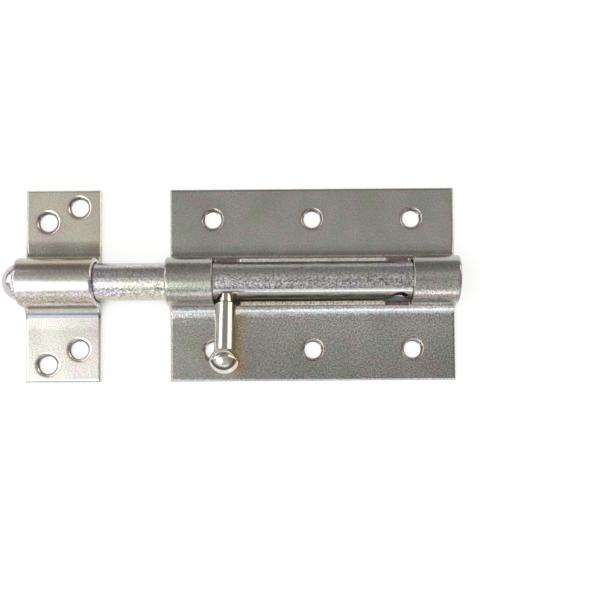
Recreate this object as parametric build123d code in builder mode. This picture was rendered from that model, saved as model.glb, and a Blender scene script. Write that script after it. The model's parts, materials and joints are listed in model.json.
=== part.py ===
from build123d import *
import os
from math import atan2, cos, hypot, radians, sin

# Sliding door bolt with its keeper, in millimetres.
# The back of the sheet lies on z = 0, +Z points away from the door, the bar runs along X and
# the origin is the middle of the mounting plate's screw holes.

# Folded sheet, the same for the mounting plate and the keeper
sheet = 2.0
fold_radius = 4.4  # front face, in the hollow fold between a wing and its wall
edge_round = 0.6  # front edges, rounded by the blanking press

# Bar and the room around it
bar_d = 16.0
bar_play = 0.3
bar_height = 9.25  # bar axis above the back
bar_nose = 6.5  # length of the domed tip
nose_round = 2.5
bar_end_chamfer = 1.0
bar_inset = 2.0  # end of the bar inside the end of the plate
padlock_hole_d = 8.5
padlock_hole_round = 0.5

# Mounting plate
plate_width = 85.0
loop_length = 20.0
rail_length = 64.0
rail_drop = 1.7  # rail tops below the bar axis
notch_floor = 5.0
rail_corner = 1.3
notch_corner = 0.9
window_round = 0.35  # front edges of the window
inner_round = 0.3  # and its inner edges
plate_hole_d = 7.4
plate_hole_round = 1.1
hole_inset_x = 18.75
hole_inset_y = 13.5

# Keeper
keeper_width = 33.0
keeper_length = 85.0
keeper_gap = 30.5  # between the keeper and the plate
bar_reach = 7.4  # tip of the bar past the keeper
keeper_hole_d = 8.0
keeper_hole_round = 0.75
keeper_hole_x = 6.9
keeper_hole_near = 7.7  # from the keeper's end to the row beside it
keeper_hole_far = 14.2  # and to the second row

# Handle
pin_d = 9.0
neck_d = 7.0
notch_play = 0.75
shoulder_gap = 0.4  # shoulder of the pin outside the walls
shoulder_chamfer = 1.0
saddle_gap = 0.08
knob_d = 12.8
knob_length = 8.9
knob_dome = 4.6  # from the widest place to the end
knob_round = 2.0
knob_blend = 0.6
handle_reach = 42.0  # from the bar's axis to the end of the knob
handle_raise = 15.0  # degrees above flat

# Sizes that follow
inner_r = bar_d / 2 + bar_play
outer_r = inner_r + sheet
fold_y = outer_r + fold_radius
fold_z = sheet + fold_radius
crown_z = bar_height + outer_r
notch_length = pin_d + 2 * notch_play
window_length = rail_length + 2 * notch_length
plate_length = window_length + 2 * loop_length
notch_x = (rail_length + notch_length) / 2
rail_z = bar_height - rail_drop
keeper_x = -(plate_length + keeper_width) / 2 - keeper_gap
bar_tip_x = keeper_x - keeper_width / 2 - bar_reach
bar_end_x = plate_length / 2 - bar_inset
near = 0.01

os.makedirs("parts", exist_ok=True)


def folded_outline(width):
    """Outline of the folded sheet across the bar: wing, hollow fold, wall and half crown, mirrored."""
    with BuildLine() as outline:
        Polyline((width / 2, sheet), (width / 2, 0), (fold_y, 0))
        CenterArc((fold_y, fold_z), fold_radius + sheet, 180, 90)
        Line((inner_r, fold_z), (inner_r, bar_height))
        CenterArc((0, bar_height), inner_r, 0, 90)
        CenterArc((0, bar_height), outer_r, 0, 90)
        Line((outer_r, bar_height), (outer_r, fold_z))
        CenterArc((fold_y, fold_z), fold_radius, 180, 90)
        Line((fold_y, sheet), (width / 2, sheet))
        mirror(about=Plane.YZ)
    return outline.line


def depth_in_sheet(point):
    """Distance of a point from the back or inner face of the sheet."""
    y, z = abs(point.Y), point.Z
    if y > fold_y:
        return z
    if z > bar_height:
        return hypot(y, z - bar_height) - inner_r
    if z > fold_z:
        return y - inner_r
    return fold_radius + sheet - hypot(fold_y - y, fold_z - z)


def on_front(edge):
    return abs(depth_in_sheet(edge @ 0.5) - sheet) < near


def on_inside(edge):
    return abs(depth_in_sheet(edge @ 0.5)) < near


def on_outline(edge, length, width):
    """Edge that runs round the outside of the folded sheet."""
    middle = edge @ 0.5
    return abs(abs(middle.X) - length / 2) < near or abs(abs(middle.Y) - width / 2) < near


def dome_point(tip, axis, radius, depth):
    """Point halfway round a dome whose tip lies at (tip, axis) and whose rim is depth further on."""
    sphere = (radius**2 + depth**2) / (2 * depth)
    half = atan2(radius, sphere - depth) / 2
    return tip + sphere * (1 - cos(half)), axis + sphere * sin(half)


def window_rim(part):
    """Edges round the window of the mounting plate."""
    return part.edges().filter_by(
        lambda edge: abs((edge @ 0.5).X) < window_length / 2 + near and (edge @ 0.5).Z > sheet + near
    )


def hole_rims(part, hole_d):
    """Front rims of the screw holes."""
    return part.edges().filter_by(GeomType.CIRCLE).filter_by(
        lambda edge: abs(edge.radius - hole_d / 2) < near and abs(edge.center().Z - sheet) < near
    )


# Mounting plate: one folded sheet, with a window that leaves a loop at each end, two rails
# beside the bar and a notch between each loop and the rails
window_top = crown_z + sheet
with BuildPart() as mounting_plate:
    with BuildSketch(Plane.YZ):
        add(folded_outline(plate_width))
        make_face()
    extrude(amount=plate_length / 2, both=True)
    outline = mounting_plate.edges().filter_by(
        lambda edge: on_front(edge) and on_outline(edge, plate_length, plate_width)
    )
    fillet(outline, edge_round)
    with BuildSketch(Plane.XZ) as window:
        with BuildLine():
            Polyline(
                (-window_length / 2, window_top),
                (-window_length / 2, notch_floor),
                (-rail_length / 2, notch_floor),
                (-rail_length / 2, rail_z),
                (rail_length / 2, rail_z),
                (rail_length / 2, notch_floor),
                (window_length / 2, notch_floor),
                (window_length / 2, window_top),
                close=True,
            )
        make_face()
        fillet(window.vertices().group_by(Axis.Y)[0], notch_corner)
        fillet(window.vertices().filter_by(lambda v: abs(v.Y - rail_z) < near), rail_corner)
    extrude(amount=fold_y, both=True, mode=Mode.SUBTRACT)
    fillet(window_rim(mounting_plate).filter_by(on_front), window_round)
    fillet(window_rim(mounting_plate).filter_by(on_inside), inner_round)
    with Locations(Plane.XY.offset(sheet)):
        with GridLocations(plate_length / 2 - hole_inset_x, plate_width - 2 * hole_inset_y, 3, 2):
            Hole(plate_hole_d / 2)
    fillet(hole_rims(mounting_plate, plate_hole_d), plate_hole_round)
mounting_plate.part.label = "mounting_plate"
export_step(mounting_plate.part, "parts/mounting_plate.step")

# Keeper: the same fold, shorter, with two staggered screw holes in each wing
with BuildPart() as keeper:
    with BuildSketch(Plane.YZ):
        add(folded_outline(keeper_length))
        make_face()
    extrude(amount=keeper_width / 2, both=True)
    outline = keeper.edges().filter_by(
        lambda edge: on_front(edge) and on_outline(edge, keeper_width, keeper_length)
    )
    fillet(outline, edge_round)
    with Locations(
        (-keeper_hole_x, keeper_length / 2 - keeper_hole_far, sheet),
        (keeper_hole_x, keeper_length / 2 - keeper_hole_near, sheet),
        (keeper_hole_x, keeper_hole_far - keeper_length / 2, sheet),
        (-keeper_hole_x, keeper_hole_near - keeper_length / 2, sheet),
    ):
        Hole(keeper_hole_d / 2)
    fillet(hole_rims(keeper, keeper_hole_d), keeper_hole_round)
keeper.part = keeper.part.moved(Location((keeper_x, 0, 0)))
keeper.part.label = "keeper"
export_step(keeper.part, "parts/keeper.step")

# Bolt bar: turned bar with a domed tip and a cross hole for a shackle
nose_x = bar_tip_x + bar_nose
with BuildPart() as bolt_bar:
    with BuildSketch(Plane.XZ) as profile:
        with BuildLine():
            Polyline(
                (nose_x, bar_height + bar_d / 2),
                (bar_end_x - bar_end_chamfer, bar_height + bar_d / 2),
                (bar_end_x, bar_height + bar_d / 2 - bar_end_chamfer),
                (bar_end_x, bar_height),
                (bar_tip_x, bar_height),
            )
            ThreePointArc(
                (bar_tip_x, bar_height),
                dome_point(bar_tip_x, bar_height, bar_d / 2, bar_nose),
                (nose_x, bar_height + bar_d / 2),
            )
        make_face()
        nose_corner = profile.vertices().filter_by(lambda v: abs(v.X - nose_x) < near)
        fillet(nose_corner, nose_round)
    revolve(axis=Axis((0, 0, bar_height), (1, 0, 0)))
    with Locations(Plane((notch_x, 0, bar_height), z_dir=(0, 1, 0))):
        Hole(padlock_hole_d / 2)
    hole_edges = bolt_bar.edges().filter_by(
        lambda edge: abs((edge @ 0.5).X - notch_x) < padlock_hole_d and abs((edge @ 0).Y) > near
    )
    fillet(hole_edges, padlock_hole_round)
bolt_bar.part.label = "bolt_bar"
export_step(bolt_bar.part, "parts/bolt_bar.step")

# Handle: pin with a narrow neck and a mushroom knob, its end hollowed to sit on the bar
raised = radians(handle_raise)
handle_way = Vector(0, -cos(raised), sin(raised))
handle_start = (-notch_x, 0, bar_height)
handle_plane = Plane(handle_start, x_dir=(1, 0, 0), z_dir=(0, -sin(raised), -cos(raised)))
shoulder = outer_r + shoulder_gap
knob_start = handle_reach - knob_length
knob_widest = handle_reach - knob_dome
neck_start = bar_d / 2 - neck_d / 4
with BuildPart() as handle:
    with BuildSketch(handle_plane) as profile:
        with BuildLine():
            Polyline(
                (0, handle_reach),
                (0, neck_start),
                (neck_d / 2, neck_start),
                (neck_d / 2, shoulder),
                (pin_d / 2, shoulder + shoulder_chamfer),
                (pin_d / 2, knob_start),
            )
            TangentArc((knob_d / 2, knob_widest), (pin_d / 2, knob_start), tangent=(0, -1))
            dome_y, dome_x = dome_point(-handle_reach, 0, knob_d / 2, knob_dome)
            ThreePointArc((knob_d / 2, knob_widest), (dome_x, -dome_y), (0, handle_reach))
        make_face()
        fillet(profile.vertices().filter_by(lambda v: abs(v.Y - knob_widest) < near), knob_round)
        fillet(profile.vertices().filter_by(lambda v: abs(v.Y - knob_start) < near), knob_blend)
    revolve(axis=Axis(handle_start, handle_way))
    with BuildSketch(Plane.YZ.offset(-notch_x - neck_d)):
        with Locations((0, bar_height)):
            Circle(bar_d / 2 + saddle_gap)
    extrude(amount=2 * neck_d, mode=Mode.SUBTRACT)
handle.part.label = "handle"
export_step(handle.part, "parts/handle.step")
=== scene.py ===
import json
from math import cos, pi, radians, sin

import bpy
from mathutils import Matrix, Vector


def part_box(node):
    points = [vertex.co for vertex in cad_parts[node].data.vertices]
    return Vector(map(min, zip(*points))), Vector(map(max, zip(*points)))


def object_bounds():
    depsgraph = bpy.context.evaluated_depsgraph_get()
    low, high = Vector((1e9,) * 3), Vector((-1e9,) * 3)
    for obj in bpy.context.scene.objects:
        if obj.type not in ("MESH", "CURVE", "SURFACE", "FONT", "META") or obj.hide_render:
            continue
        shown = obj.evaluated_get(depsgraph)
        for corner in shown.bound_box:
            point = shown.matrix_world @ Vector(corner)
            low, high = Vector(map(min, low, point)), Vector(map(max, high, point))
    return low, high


# Sliding door bolt and keeper in bright zinc, lying on a white table.
# The frame gives every solid in metres; the finishes below count in millimetres.
# A noise is written as its scale, detail and roughness. A band is written as where it is 0 and
# where it is 1, and a pair of bands as the one that lets a value in and the one that ends it.
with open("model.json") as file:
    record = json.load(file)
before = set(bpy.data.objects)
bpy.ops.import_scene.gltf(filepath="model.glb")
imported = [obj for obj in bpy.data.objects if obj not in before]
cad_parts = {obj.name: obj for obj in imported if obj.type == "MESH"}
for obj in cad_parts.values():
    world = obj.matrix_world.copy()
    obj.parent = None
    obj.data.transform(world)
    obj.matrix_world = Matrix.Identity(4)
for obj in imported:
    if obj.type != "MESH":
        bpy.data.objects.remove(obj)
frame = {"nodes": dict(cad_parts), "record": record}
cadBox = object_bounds()
print("frame loaded:", ", ".join(sorted(frame["nodes"])))

mm = 0.001
white, black = (1.0, 1.0, 1.0), (0.0, 0.0, 0.0)


# Shader maths written as sums on sockets
class Socket:
    def __init__(self, tree, link):
        self.tree = tree
        self.link = link

    def maths(self, operation, *others):
        return self.tree.maths(operation, self, *others)

    def __add__(self, other):
        return self.maths("ADD", other)

    def __radd__(self, other):
        return self.tree.maths("ADD", other, self)

    def __sub__(self, other):
        return self.maths("SUBTRACT", other)

    def __rsub__(self, other):
        return self.tree.maths("SUBTRACT", other, self)

    def __mul__(self, other):
        return self.maths("MULTIPLY", other)

    def __rmul__(self, other):
        return self.tree.maths("MULTIPLY", other, self)

    def __truediv__(self, other):
        return self.maths("DIVIDE", other)

    def __pow__(self, other):
        return self.maths("POWER", other)

    def __neg__(self):
        return self.tree.maths("MULTIPLY", self, -1.0)

    def limited(self):
        return self.tree.node("ShaderNodeClamp", sockets={"Value": self})

    def between(self, low, high, start=0.0, end=1.0):
        sockets = {0: self, 1: low, 2: high, 3: start, 4: end}
        return self.tree.node("ShaderNodeMapRange", {"interpolation_type": "SMOOTHSTEP"}, sockets)

    # Share of a pair of bands: in by the first, out by the second
    def within(self, bands):
        return self.between(*bands[0]) * self.between(*bands[1])


class Nodes:
    def __init__(self, owner):
        owner.use_nodes = True
        self.tree = owner.node_tree
        self.tree.nodes.clear()

    def node(self, kind, settings=None, sockets=None, output=0):
        made = self.tree.nodes.new(kind)
        for name, value in (settings or {}).items():
            if name == "stops":
                self.setStops(made.color_ramp, value)
            else:
                setattr(made, name, value)
        for name, value in (sockets or {}).items():
            self.feed(made.inputs[name], value)
        return Socket(self, made.outputs[output]) if made.outputs else made

    def setStops(self, ramp, stops):
        while len(ramp.elements) < len(stops):
            ramp.elements.new(1.0)
        for element, (place, colour) in zip(ramp.elements, stops):
            element.position = place
            element.color = (*colour, 1.0)

    def feed(self, target, value):
        if isinstance(value, Socket):
            self.tree.links.new(value.link, target)
        elif isinstance(value, (tuple, list)) and target.type == "RGBA" and len(value) == 3:
            target.default_value = (*value, 1.0)
        else:
            target.default_value = value

    def maths(self, operation, *values):
        return self.node("ShaderNodeMath", {"operation": operation}, dict(enumerate(values)))

    def mixed(self, share, first, second, blend="MIX"):
        settings = {"data_type": "RGBA", "blend_type": blend}
        return self.node("ShaderNodeMix", settings, {0: share, 6: first, 7: second}, output=2)

    def scaled(self, vector, scale):
        sockets = {0: vector, 1: scale}
        return self.node("ShaderNodeVectorMath", {"operation": "MULTIPLY"}, sockets)

    # Place on the object in millimetres, which doesn't change when the object moves
    def place(self):
        point = self.node("ShaderNodeTexCoord", output="Object")
        return self.scaled(point, (1 / mm,) * 3)

    # How far the surface faces right, back and up, each from -1 to 1
    def lean(self):
        return self.axes(self.node("ShaderNodeTexCoord", output="Normal"))

    def nearest(self, place, points):
        flat = self.scaled(place, (1.0, 1.0, 0.0))
        found = None
        for x, y in points:
            settings = {"operation": "DISTANCE"}
            sockets = {0: flat, 1: (x, y, 0.0)}
            gap = self.node("ShaderNodeVectorMath", settings, sockets, output="Value")
            found = gap if found is None else self.maths("MINIMUM", found, gap)
        return found

    def axes(self, vector):
        parts = self.node("ShaderNodeSeparateXYZ", sockets={0: vector})
        return [Socket(self, out) for out in parts.link.node.outputs]

    def noise(self, vector, scale, detail, rough):
        sockets = {"Vector": vector, "Scale": scale, "Detail": detail, "Roughness": rough}
        settings = {"noise_dimensions": "3D", "noise_type": "FBM"}
        return self.node("ShaderNodeTexNoise", settings, sockets)

    def bump(self, height, strength, distance, normal=None):
        sockets = {"Height": height, "Strength": strength, "Distance": distance}
        if normal:
            sockets["Normal"] = normal
        return self.node("ShaderNodeBump", sockets=sockets)

    def metal(self, colour, rough, normal):
        sockets = {"Base Color": colour, "Metallic": 1.0, "Roughness": rough, "Normal": normal}
        return self.node("ShaderNodeBsdfPrincipled", sockets=sockets)


def sRgb(red, green, blue):
    return tuple(((c / 255 + 0.055) / 1.055) ** 2.4 for c in (red, green, blue))


def finish(name, build):
    material = bpy.data.materials.new(name)
    nodes = Nodes(material)
    shader = build(nodes)
    nodes.node("ShaderNodeOutputMaterial", sockets={"Surface": shader})
    return material


def dress(node, material):
    for slot in frame["nodes"][node].material_slots:
        slot.material = material


# Folded sheet: satin zinc with a faint iridescent passivation. The blanked faces on the rails are
# beige and rough, and a dark brown painted shade lies on the inner edges beside the bar.
# Both sheets share these bands. Those of a lean or turn count how far the surface faces back or
# up, those of a depth are levels of a noise, and the others are places in millimetres.
sheetBands = {
    "upperWing": (2.0, 12.0),
    "steepLean": (0.25, 0.85),
    "duskyLean": ((-0.05, 0.40), (0.90, 0.55)),
    "sunkLean": ((-0.70, -0.79), (-0.95, -0.88)),
    "duskyRise": (8.0, 11.0),
    "haloReach": (3.2, 0.4),
    "haloPatch": (0.35, 0.65, 0.3, 1.0),
    "punchedReach": (0.5, 0.1),
    "pinReflectionWidth": ((-2.0, 0.0), (6.0, 0.0)),
    "pinReflectionLength": ((-12.0, -16.0), (-42.0, -34.0)),
    "cutLean": (0.85, 0.97),
    "cutRise": ((4.4, 4.8), (9.0, 8.0)),
    "backCut": (-6.0, 6.0),
    "notchRise": (6.6, 5.6),
    "insideReach": (0.55, 0.20),
    "shineEnd": (-0.85, -0.55),
    "shineTurn": (-0.42, -0.62),
    "shineRise": (7.0, 6.0),
    "coarse": (6.0, -16.0),
    "coarseRight": (-60.0, 10.0),
    "skin": (-5.0, -7.5),
    "skinRise": (6.5, 8.5),
    "paintedShadePatchFront": (-15.0, -40.0),
    "paintedShadePatchRight": (-58.0, -15.0),
    "smudgeDepth": (0.3, 0.7),
    "backFold": ((21.0, 15.5), (4.0, 8.0)),
    "backFoldRise": (7.5, 5.5),
    "frontWing": (-14.0, -20.0),
    "crownRise": (6.0, 9.0),
    "fleckDepth": (0.28, 0.72, -1.0, 1.0),
    "dishReach": (2.0, 0.2),
    "foldTurn": (-2.0, 2.0),
    "foldStart": 11.0,
    "edgeReach": 1.5,
}
# Height of the bar's axis and radius inside the crown, in millimetres
sheetSection = {"axis": 9.25, "inner": 8.3}


# What is known of a spot on a folded sheet before its tint, shade and form are worked out
class SheetSpot:
    def __init__(self, nodes, look, holes, holeRadius):
        bands = sheetBands
        self.place = nodes.place()
        self.across, self.along, self.rise = nodes.axes(self.place)
        self.lean = nodes.lean()
        self.off = nodes.maths("ABSOLUTE", self.along)
        self.rim = nodes.nearest(self.place, holes) - holeRadius
        self.punched = self.rim.between(*bands["punchedReach"])
        self.cut = self.lean[2].between(*bands["cutLean"]) * self.rise.within(bands["cutRise"])
        upper = nodes.maths("MAXIMUM", self.rise - sheetSection["axis"], 0.0)
        radius = (self.along * self.along + upper * upper) ** 0.5
        self.inside = (radius - sheetSection["inner"]).between(*bands["insideReach"])
        self.paintedFoldLight = self.lean[1].within((look["shineFrom"], bands["shineEnd"]))
        self.paintedFoldLight = self.paintedFoldLight * self.rise.between(*bands["shineRise"])
        self.coarse = self.along.between(*bands["coarse"]) * (1 - self.paintedFoldLight)
        self.coarse = self.coarse * self.across.between(*bands["coarseRight"], look["coarseLeft"])
        self.smudge = nodes.noise(nodes.scaled(self.place, look["stretch"]), *look["smudge"])
        self.grain = nodes.noise(self.place, *look["grain"])


def sheetTint(nodes, look, spot):
    bands = sheetBands
    cloud = nodes.noise(spot.place, *look["patch"])
    tint = nodes.node("ShaderNodeValToRGB", {"stops": look["tints"]}, {0: cloud})
    upper = nodes.mixed(spot.along.between(*bands["upperWing"]), white, look["upperTint"])
    tint = nodes.scaled(tint, upper)

    # Painted reflection: walls turned to the front or back take a beige tint
    steepReflection = (spot.lean[1] * spot.lean[1]).between(*bands["steepLean"])
    tint = nodes.mixed(steepReflection * look["steepReflectionShare"], tint, look["steepReflection"])
    # Painted shade: high on the crown, faces turned part way back and faces turned steeply to the
    # front take a dark brown tint
    facingShade = spot.lean[1].within(bands["duskyLean"]) * look["facingShadeShare"]
    facingShade = facingShade + spot.lean[1].within(bands["sunkLean"]) * look["sunkShare"]
    tint = nodes.mixed(facingShade * spot.rise.between(*bands["duskyRise"]), tint, look["facingShade"])

    halo = spot.rim.between(*bands["haloReach"]) * look["haloShare"]
    tint = nodes.mixed(halo * cloud.between(*bands["haloPatch"]), tint, look["copper"])
    # Hole walls: rough punched faces, darkened further as painted shade inside the holes
    tint = nodes.mixed(spot.punched, tint, look["punched"])
    # Painted reflection of the pin: a golden band on the plate beside the handle's pin
    pinReflection = (spot.across - look["pinReflection"]).within(bands["pinReflectionWidth"])
    pinReflection = pinReflection * spot.along.within(bands["pinReflectionLength"]) * look["pinReflectionShare"]
    tint = nodes.mixed(pinReflection, tint, look["goldReflection"])

    blank = nodes.mixed(spot.along.between(*bands["backCut"]), look["cutFront"], look["cutBack"])
    blank = nodes.mixed(spot.rise.between(*bands["notchRise"]), blank, look["cutNotch"])
    tint = nodes.mixed(spot.cut, tint, blank)
    # Painted shade: a dark brown band on the inner edges, where the bar shades them
    tint = nodes.mixed(spot.inside * look["insideShadeShare"], tint, look["inside"])
    # Painted light on the front fold: a bluish highlight on the plate and a grey shade on the
    # keeper
    up = spot.lean[1].between(*bands["shineTurn"])
    paintedFoldLightTint = nodes.mixed(up, look["paintedFoldLight"], look["paintedFoldLightUp"])
    return nodes.mixed(spot.paintedFoldLight * look["paintedFoldLightShare"], tint, paintedFoldLightTint)


def sheetShade(look, spot):
    bands = sheetBands
    low, high = 1 - look["smudgeDepth"], 1 + look["smudgeDepth"]
    shade = spot.smudge.between(*bands["smudgeDepth"], low, high)
    fold = spot.along.within(bands["backFold"]) * spot.rise.between(*bands["backFoldRise"])
    shade = shade * (1 - fold * look["foldShade"])
    # Painted light: the lower wing is lighter on the keeper and a touch darker on the plate
    shade = shade * spot.along.between(*bands["frontWing"], 1.0, look["lowerWingLight"])
    # Painted shade: the keeper is darker high on its barrel
    shade = shade * spot.rise.between(*bands["crownRise"], 1.0, look["crown"])
    # Painted shade: the lower wing darkens towards its front edge, except near its left end
    paintedShadePatch = spot.along.between(*bands["paintedShadePatchFront"]) * spot.across.between(*bands["paintedShadePatchRight"])
    shade = shade * (1 - paintedShadePatch * look["paintedShadePatch"])

    skin = spot.along.between(*bands["skin"]) * spot.rise.between(*bands["skinRise"])
    depth = look["grainDepth"] + spot.coarse * look["coarseDepth"]
    depth = depth + skin * look["skinDepth"] + spot.cut * look["cutDepth"]
    return shade * (spot.grain.between(*bands["fleckDepth"]) * depth + 1)


# The press left the wings slightly bowed, with soft folds, dished holes and turned down edges
def sheetForm(nodes, look, spot, middle, half):
    bands = sheetBands
    drop = nodes.maths("MAXIMUM", -spot.along - look["bowFrom"], 0.0) * look["droop"]
    foldRise = spot.along.between(*bands["foldTurn"], look["foldFront"], look["foldBack"])
    form = spot.off.between(bands["foldStart"], look["foldFrom"]) * -foldRise - drop
    dish = spot.rim.between(*bands["dishReach"])
    endward = nodes.maths("ABSOLUTE", spot.across - middle.x)
    edge = nodes.maths(
        "MAXIMUM",
        endward.between(half.x - bands["edgeReach"], half.x),
        spot.off.between(half.y - bands["edgeReach"], half.y),
    )
    return form - dish * dish * look["dish"] - edge * edge * look["edge"]


def zincSheet(node, look, holes, holeRadius):
    low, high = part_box(node)
    middle, half = (low + high) / 2 / mm, (high - low) / 2 / mm

    def build(nodes):
        spot = SheetSpot(nodes, look, holes, holeRadius)
        colour = nodes.scaled(sheetTint(nodes, look, spot), sheetShade(look, spot))
        rough = look["rough"] + (spot.smudge - 0.5) * look["smudgeRough"]
        rough = rough + (spot.grain - 0.5) * look["grainRough"]
        rough = rough + spot.punched * look["punchedRough"]
        rough = rough + (spot.cut + spot.inside) * look["cutRough"]
        formed = nodes.bump(sheetForm(nodes, look, spot, middle, half), 1.0, mm)
        pebble = nodes.noise(spot.place, *look["pebble"])
        height = spot.grain * look["grainShare"] + pebble * (1 - look["grainShare"])
        strength = look["bump"] + spot.coarse * look["coarseBump"]
        return nodes.metal(colour, rough, nodes.bump(height, strength, look["bumpHeight"], formed))

    return build


# Middles of the screw holes, from the mounts of the record
def holePlaces(names):
    places = []
    for mount in frame["record"]["mounts"]:
        if mount["name"] in names:
            dims = mount["dims"]
            reach = [dims.get(key, 0.0) / 2 for key in ("spacing_x_mm", "spacing_y_mm")]
            x, y = (coordinate / mm for coordinate in mount["pos_m"][:2])
            signs = {(sx if reach[0] else 0, sy) for sx in (-1, 1) for sy in (-1, 1)}
            places += [(x + sx * reach[0], y + sy * reach[1]) for sx, sy in sorted(signs)]
    return places


def holeRadius(name):
    return next(m["dims"]["hole_r_mm"] for m in frame["record"]["mounts"] if m["name"] == name)


plateLook = {
    "patch": (0.045, 4.0, 0.6),
    "tints": [
        (0.30, sRgb(174, 178, 154)),
        (0.42, sRgb(182, 182, 173)),
        (0.50, sRgb(189, 180, 176)),
        (0.58, sRgb(176, 182, 171)),
        (0.70, sRgb(185, 171, 169)),
    ],
    "upperTint": white,
    "steepReflection": sRgb(200, 192, 188),
    "steepReflectionShare": 0.5,
    "facingShade": sRgb(140, 130, 124),
    "facingShadeShare": 0.12,
    "sunkShare": 0.75,
    "haloShare": 0.4,
    "copper": sRgb(190, 156, 134),
    # Golden painted reflection, beside the pin on the plate
    "goldReflection": sRgb(232, 212, 160),
    "pinReflection": -33.5,
    "pinReflectionShare": 0.42,
    # Hole walls, darkened partly as painted shade
    "punched": sRgb(112, 96, 84),
    "cutFront": sRgb(242, 230, 202),
    "cutBack": sRgb(240, 230, 219),
    "cutNotch": sRgb(150, 118, 122),
    "cutDepth": 0.14,
    # Dark brown painted shade for the inner edges beside the bar
    "inside": sRgb(84, 66, 50),
    "insideShadeShare": 0.9,
    # Painted highlight on the front fold
    "paintedFoldLight": sRgb(236, 242, 246),
    "paintedFoldLightUp": sRgb(214, 220, 226),
    "paintedFoldLightShare": 0.9,
    "shineFrom": (-0.25, -0.45),
    "stretch": (1.0, 0.6, 1.0),
    "smudge": (0.06, 4.0, 0.6),
    "smudgeDepth": 0.06,
    "lowerWingLight": 0.98,
    "paintedShadePatch": 0.20,
    "crown": 1.0,
    "foldShade": 0.0,
    "bowFrom": 16.0,
    "droop": 0.03,
    "dish": 0.5,
    "edge": 0.3,
    "foldFrom": 18.0,
    "foldFront": 0.6,
    "foldBack": 0.4,
    "grain": (1.5, 2.0, 0.75),
    "grainDepth": 0.20,
    "skinDepth": 0.0,
    "coarseDepth": 0.36,
    "coarseLeft": 0.5,
    "pebble": (0.8, 2.0, 0.55),
    "grainShare": 0.6,
    "rough": 0.24,
    "smudgeRough": 0.12,
    "grainRough": 0.14,
    "punchedRough": 0.25,
    "cutRough": 0.2,
    "bump": 0.35,
    "coarseBump": 1.0,
    "bumpHeight": 0.10 * mm,
}
plateHoles = holePlaces(("plate_screws", "plate_screws_middle"))
plateZinc = zincSheet("mounting_plate", plateLook, plateHoles, holeRadius("plate_screws"))
dress("mounting_plate", finish("zincSheetGrey", plateZinc))

keeperLook = {
    **plateLook,
    "patch": (0.06, 4.0, 0.6),
    "tints": [
        (0.28, sRgb(234, 224, 204)),
        (0.42, sRgb(230, 224, 218)),
        (0.52, sRgb(227, 228, 218)),
        (0.62, sRgb(233, 220, 222)),
        (0.72, sRgb(224, 228, 230)),
    ],
    "upperTint": (1.05, 1.02, 0.93),
    "steepReflection": sRgb(200, 186, 160),
    "punched": sRgb(120, 108, 96),
    "lowerWingLight": 1.12,
    "paintedShadePatch": 0.0,
    # Painted shade high on the barrel
    "crown": 0.80,
    "bowFrom": 12.5,
    "droop": 0.085,
    "foldFrom": 20.0,
    "foldFront": 0.25,
    "foldBack": 1.4,
    "facingShade": sRgb(176, 152, 132),
    "facingShadeShare": 0.5,
    "sunkShare": 0.3,
    # Painted shade on the front fold
    "paintedFoldLight": sRgb(134, 139, 144),
    "paintedFoldLightUp": sRgb(168, 176, 182),
    "paintedFoldLightShare": 0.95,
    "shineFrom": (0.0, -0.15),
    "foldShade": 0.4,
    "skinDepth": 0.35,
    "pinReflectionShare": 0.0,
    "grainDepth": 0.13,
    "coarseDepth": 0.0,
    "coarseBump": 0.0,
}
keeperHoles = holePlaces(("keeper_screws_left", "keeper_screws_right"))
keeperZinc = zincSheet("keeper", keeperLook, keeperHoles, holeRadius("keeper_screws_left"))
dress("keeper", finish("zincSheetPale", keeperZinc))


# Bar: drawn rod whose thick zinc left a speckled skin. Between the rails its flanks carry a brown
# painted shade, and the speckled band sits higher.
barLook = {
    "tints": [
        (0.34, sRgb(198, 195, 178)),
        (0.50, sRgb(198, 196, 192)),
        (0.66, sRgb(190, 184, 196)),
    ],
    "cloud": (0.06, 3.0, 0.55),
    "grain": (2.6, 2.0, 0.6),
    "steepReflection": sRgb(204, 188, 164),
    "steepLean": (0.6, 0.95),
    "steepReflectionShare": 0.6,
    "railed": (46.0, 40.0),
    "flankShade": sRgb(66, 55, 45),
    "flankShadeShares": [
        ((0.48, 0.76), 0.72),
        ((-0.72, -0.93), 0.85),
        ((-0.93, -0.98), 0.13),
    ],
    "paintedShadePatchStretch": (0.12, 1.0, 1.0),
    "paintedShadePatch": (1.2, 3.0, 0.6),
    "paintedShadePatchDepth": (0.35, 0.65, 0.75, 1.1),
    "speckStretch": (0.75, 1.0, 1.0),
    "speck": (1.3, 4.0, 0.8),
    "speckDepth": (0.36, 0.64, -1.0, 1.0),
    "heavyStretch": (0.6, 1.0, 1.0),
    "heavy": (0.16, 3.0, 0.5),
    "heavyDepth": (0.3, 0.7, 0.75, 1.15),
    "top": (-0.20, 0.20),
    "topBand": (0.2, -0.3),
    "foot": (-0.94, -0.72),
    "footBand": (0.0, 0.14),
    "calm": 0.26,
    "lively": 0.62,
    "clean": ((-0.50, -0.64), (-0.90, -0.80)),
    "cleanTip": (-0.2, -0.5),
    "cleanDepth": 0.6,
    "cleanBump": 0.75,
    "cleanRough": 0.05,
    "paintedFrontShade": (-0.09, -0.22),
    "paintedFrontShadeShare": (0.02, 0.22),
    "level": 1.08,
    "bump": 0.7,
    "bumpHeight": 0.12 * mm,
    "grainBump": 0.25,
    "rough": 0.14,
    "grainRough": 0.2,
}


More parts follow.
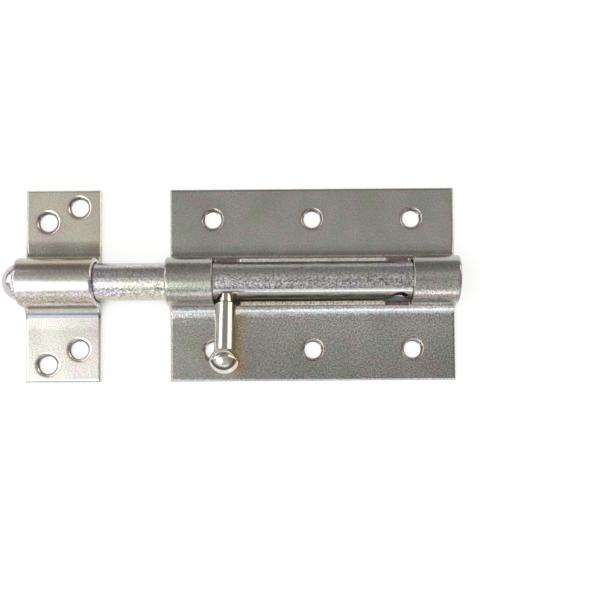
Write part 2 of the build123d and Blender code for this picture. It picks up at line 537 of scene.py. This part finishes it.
def zincBar(nodes):
    look = barLook
    place, lean = nodes.place(), nodes.lean()
    run = nodes.maths("ABSOLUTE", nodes.axes(place)[0])
    railed = run.between(*look["railed"])
    cloud = nodes.noise(place, *look["cloud"])
    grain = nodes.noise(place, *look["grain"])
    speck = nodes.noise(nodes.scaled(place, look["speckStretch"]), *look["speck"])
    # Patchy noise that breaks up the painted shade on the bar's sides
    paintedShadePatch = nodes.noise(nodes.scaled(place, look["paintedShadePatchStretch"]), *look["paintedShadePatch"])
    heavy = nodes.noise(nodes.scaled(place, look["heavyStretch"]), *look["heavy"])

    # A value at the bar's open end and one between the rails
    def railedFrom(ends):
        return railed * (ends[1] - ends[0]) + ends[0]

    tint = nodes.node("ShaderNodeValToRGB", {"stops": look["tints"]}, {0: (cloud + grain) * 0.5})
    # Painted reflection: the bar's sides turned to the front or back take a beige tint
    steepReflection = (lean[1] * lean[1]).between(*look["steepLean"])
    tint = nodes.mixed(steepReflection * look["steepReflectionShare"], tint, look["steepReflection"])
    # Painted shade: the bar's sides between the rails are darkened brown
    flankShade = sum(lean[1].between(*band) * share for band, share in look["flankShadeShares"])
    flankShade = flankShade * railed * paintedShadePatch.between(*look["paintedShadePatchDepth"])
    tint = nodes.mixed(flankShade, tint, look["flankShade"])

    top, foot = railedFrom(look["top"]), railedFrom(look["foot"])
    upper = lean[1].between(top + look["topBand"][0], top + look["topBand"][1])
    lower = lean[1].between(foot + look["footBand"][0], foot + look["footBand"][1])
    clean = lean[1].within(look["clean"]) * railed + lean[0].between(*look["cleanTip"])
    depth = upper * lower * (look["lively"] - look["calm"]) + look["calm"]
    depth = depth * heavy.between(*look["heavyDepth"]) * (1 - clean * look["cleanDepth"])
    # Painted shade: faces turned to the front are darker, most between the rails
    paintedFrontShade = lean[1].between(*look["paintedFrontShade"]) * railedFrom(look["paintedFrontShadeShare"])
    fleck = speck.between(*look["speckDepth"]) * depth + look["level"] - paintedFrontShade

    rough = look["rough"] + (grain - 0.5) * look["grainRough"] - clean * look["cleanRough"]
    strength = look["bump"] * (1 - clean * look["cleanBump"])
    normal = nodes.bump(speck + grain * look["grainBump"], strength, look["bumpHeight"])
    return nodes.metal(nodes.scaled(tint, fleck), rough, normal)


dress("bolt_bar", finish("zincRod", zincBar))


# Handle: turned pin and knob, the smoothest and brightest of the pieces. Its right side carries a
# painted golden reflection, and a dark painted reflection lies as a crescent under the knob.
handleLook = {
    "colour": sRgb(222, 219, 212),
    "grain": (2.2, 3.0, 0.6),
    "goldReflection": sRgb(250, 240, 214),
    "goldReflectionFrom": (0.6, 2.4),
    "goldReflectionShare": 0.7,
    "copper": sRgb(240, 204, 160),
    "copperReflectionFrom": (2.8, 3.6),
    "copperReflectionShare": 0.7,
    "mottle": (0.35, 0.65, 0.86, 1.06),
    "crescent": sRgb(58, 54, 52),
    "crescentUp": ((0.82, 0.70), (0.50, 0.58)),
    "crescentFront": (0.0, -0.3),
    "crescentOut": (33.5, 34.5),
    "crescentReflectionShare": 0.9,
    "rough": 0.15,
    "grainRough": 0.12,
    "bump": 0.3,
    "bumpHeight": 0.08 * mm,
}


def zincHandle(nodes):
    look = handleLook
    place, lean = nodes.place(), nodes.lean()
    low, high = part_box("handle")
    x, y = nodes.axes(place)[:2]
    across = x - (low.x + high.x) / 2 / mm
    grain = nodes.noise(place, *look["grain"])
    # Painted reflections: a golden band on the pin's right side and a copper one at its right edge
    goldenReflection = (across + (grain - 0.5)).between(*look["goldReflectionFrom"])
    copperReflection = across.between(*look["copperReflectionFrom"])
    colour = nodes.mixed(goldenReflection * look["goldReflectionShare"], look["colour"], look["goldReflection"])
    colour = nodes.mixed(copperReflection * look["copperReflectionShare"], colour, look["copper"])
    colour = nodes.scaled(colour, grain.between(*look["mottle"]))
    # Painted reflection: a dark crescent on the knob
    crescent = lean[2].within(look["crescentUp"]) * lean[1].between(*look["crescentFront"])
    crescent = crescent * (-y).between(*look["crescentOut"])
    colour = nodes.mixed(crescent * look["crescentReflectionShare"], colour, look["crescent"])
    rough = look["rough"] + (grain - 0.5) * look["grainRough"]
    return nodes.metal(colour, rough, nodes.bump(grain, look["bump"], look["bumpHeight"]))


dress("handle", finish("zincTurned", zincHandle))
print("finishes made")


# White table that keeps a soft shadow; it stays dark where the object shuts the light out
floorLook = {
    "size": 6.0,
    "drop": 0.02 * mm,
    "shadowShare": 0.3,
    "glow": 1.13,
    "reach": 25 * mm,
    "samples": 8,
    "shut": 0.08,
    "open": 0.4,
}


def whiteTable(nodes):
    path = nodes.node("ShaderNodeLightPath")
    names = ("Is Camera Ray", "Is Glossy Ray", "Is Transmission Ray")
    rays = [Socket(nodes, path.link.node.outputs[name]) for name in names]
    shown = (rays[0] + rays[1] + rays[2]).limited()
    settings = {"samples": floorLook["samples"]}
    sockets = {"Distance": floorLook["reach"]}
    shelter = nodes.node("ShaderNodeAmbientOcclusion", settings, sockets, output="AO")
    lit = shelter.between(floorLook["shut"], floorLook["open"]) * floorLook["glow"]
    matt = nodes.node("ShaderNodeBsdfDiffuse", sockets={"Color": white})
    glow = nodes.node("ShaderNodeEmission", sockets={"Color": white, "Strength": lit})
    share = shown * (1 - floorLook["shadowShare"])
    return nodes.node("ShaderNodeMixShader", sockets={0: share, 1: matt, 2: glow})


bpy.ops.object.select_all(action="DESELECT")
floorHeight = cadBox[0].z - floorLook["drop"]
bpy.ops.mesh.primitive_plane_add(size=floorLook["size"], location=(0, 0, floorHeight))
floor = bpy.context.object
floor.name = "floor"
floor.data.materials.append(finish("whiteTable", whiteTable))


# Studio: a room told by how far a direction tips to the right (+X) and back (+Y), in degrees.
# Each of the tips is degrees back, the level there, and red against blue. Five soft windows lie
# on top: a big one in front to the left, two more to the left and behind, a low warm one behind
# to the right and a strip low in front. The camera itself sees plain white.
roomLook = {
    "brightest": 2.0,
    "tips": [
        (-90, 0.55, 0.98),
        (-84, 0.75, 0.97),
        (-78, 1.00, 0.97),
        (-73, 1.35, 0.98),
        (-68, 1.50, 0.98),
        (-63, 0.75, 0.98),
        (-58, 0.46, 0.98),
        (-55, 0.46, 0.98),
        (-48, 0.66, 0.98),
        (-36, 0.58, 0.99),
        (-22, 0.48, 1.00),
        (-12, 0.40, 1.00),
        (-4, 0.46, 1.00),
        (6, 0.64, 1.00),
        (14, 0.56, 1.00),
        (24, 0.42, 1.01),
        (37, 0.30, 1.04),
        (55, 0.24, 1.08),
        (74, 0.24, 1.08),
        (90, 0.36, 1.04),
    ],
    "horizon": (0.01, 0.11),
    "right": (14, 40),
    "rightLevel": 0.5,
}
windows = {
    "left": {
        "tip": (-30.0, -29.0),
        "spread": (25.0, 31.0),
        "edge": (1.05, 0.60),
        "glow": (2.4, 2.38, 2.34),
    },
    "leftBack": {
        "tip": (-47.0, 45.0),
        "spread": (29.0, 12.0),
        "edge": (1.0, 0.60),
        "glow": (2.6, 2.6, 2.6),
    },
    "leftSide": {
        "tip": (-64.0, 10.0),
        "spread": (26.0, 26.0),
        "edge": (1.0, 0.50),
        "glow": (1.9, 1.9, 1.88),
    },
    "front": {
        "tip": (14.0, -80.0),
        "spread": (28.0, 5.5),
        "edge": (1.0, 0.30),
        "glow": (2.3, 2.36, 2.42),
    },
    "rightBack": {
        "tip": (54.0, 54.0),
        "spread": (34.0, 26.0),
        "edge": (1.0, 0.45),
        "glow": (2.4, 2.15, 1.75),
    },
}


def roomLight(nodes):
    way = nodes.node("ShaderNodeTexCoord", output="Generated")
    x, y, z = nodes.axes(way)
    degrees = 180 / pi
    tipX = nodes.maths("ARCSINE", x) * degrees
    tipY = nodes.maths("ARCTAN2", y, z) * degrees
    peak = roomLook["brightest"]
    first, last = roomLook["tips"][0][0], roomLook["tips"][-1][0]
    stops = []
    for tip, level, warm in roomLook["tips"]:
        colour = (level * warm / peak, level * (warm + 1) / 2 / peak, level / peak)
        stops.append(((tip - first) / (last - first), colour))
    band = nodes.node("ShaderNodeValToRGB", {"stops": stops}, {0: (tipY - first) / (last - first)})
    fall = tipX.between(*roomLook["right"], 1.0, roomLook["rightLevel"])
    light = nodes.scaled(band, fall * peak)
    for window in windows.values():
        offX = (tipX - window["tip"][0]) / window["spread"][0]
        offY = (tipY - window["tip"][1]) / window["spread"][1]
        share = ((offX * offX + offY * offY) ** 0.5).between(*window["edge"])
        glow = nodes.mixed(share, black, window["glow"])
        light = nodes.mixed(1.0, light, glow, "ADD")
    return nodes.mixed(z.between(*roomLook["horizon"]), white, light)


room = bpy.data.worlds.new("room")
bpy.context.scene.world = room
roomNodes = Nodes(room)
seen = roomNodes.node("ShaderNodeLightPath", output="Is Camera Ray")
shownRoom = roomNodes.mixed(seen, roomLight(roomNodes), white)
roomGlow = roomNodes.node("ShaderNodeBackground", sockets={"Color": shownRoom, "Strength": 1.0})
roomNodes.node("ShaderNodeOutputWorld", sockets={"Surface": roomGlow})


# Camera high above the lower side of the bolt, as in the photograph; target and distance in mm
cameraLook = {
    "target": (-5.90, -59.77, 0.0),
    "elevation": 88.0,
    "distance": 341.2,
    "roll": -0.436,
    "lens": 46.53,
    "sensor": 36.0,
    "shift": 0.2,
    "clipStart": 0.01,
}


def addCamera(look):
    rise, roll = radians(look["elevation"]), radians(look["roll"])
    back = Vector((0, -cos(rise), sin(rise)))
    right = (-back).cross(Vector((0, 0, 1))).normalized()
    up = right.cross(-back)
    right, up = cos(roll) * right + sin(roll) * up, cos(roll) * up - sin(roll) * right
    turn = Matrix((right, up, back)).transposed().to_4x4()
    camera = bpy.data.objects.new("camera", bpy.data.cameras.new("camera"))
    bpy.context.scene.collection.objects.link(camera)
    camera.data.lens = look["lens"]
    camera.data.sensor_width = look["sensor"]
    camera.data.shift_y = look["shift"]
    camera.data.clip_start = look["clipStart"]
    place = Vector(look["target"]) * mm + back * look["distance"] * mm
    camera.matrix_world = Matrix.Translation(place) @ turn
    bpy.context.scene.camera = camera


addCamera(cameraLook)
bpy.context.scene.view_settings.view_transform = "Standard"
print("studio made")
